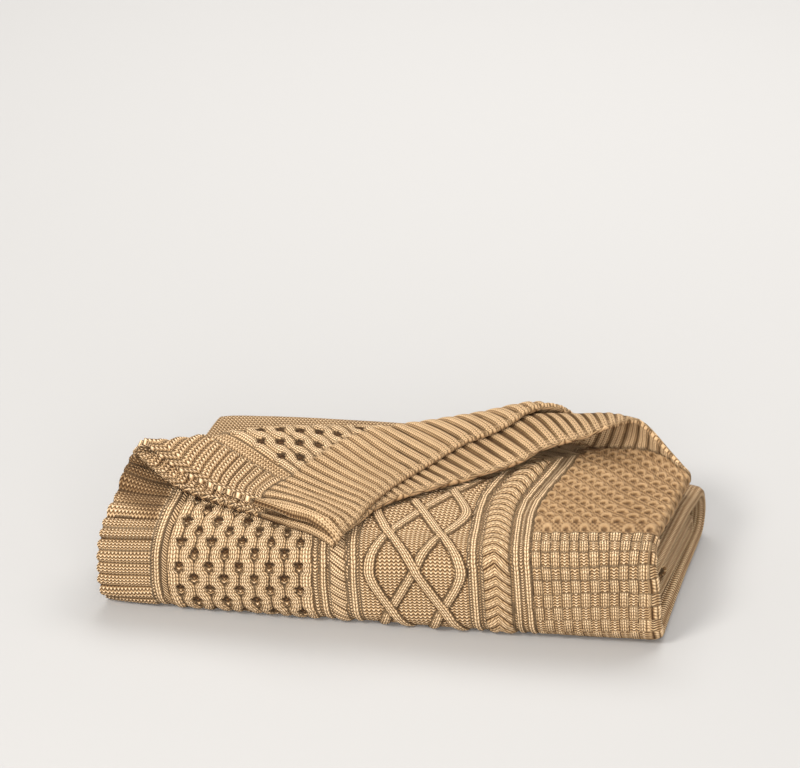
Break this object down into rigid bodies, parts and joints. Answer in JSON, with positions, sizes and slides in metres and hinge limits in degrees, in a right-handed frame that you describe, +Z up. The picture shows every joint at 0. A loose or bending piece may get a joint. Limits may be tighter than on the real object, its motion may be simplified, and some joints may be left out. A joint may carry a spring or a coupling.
{
  "type": "knit throw blanket",
  "caption": "Cable-knit throw blanket folded into a soft oblong pile with one top corner turned over toward the front.",
  "frame": {"origin": "centre of the folded throw's bounding box, at the ground", "axes": "+X along the long side toward the closed fold, +Y toward the back, +Z up"},
  "size_m": [0.6546, 0.388, 0.1567],
  "materials": {
    "camel_knit": "matte thick cotton yarn, cable knit"
  },
  "bodies": {
    "root": {"knit_throw": "camel_knit"}
  },
  "joints": []
}
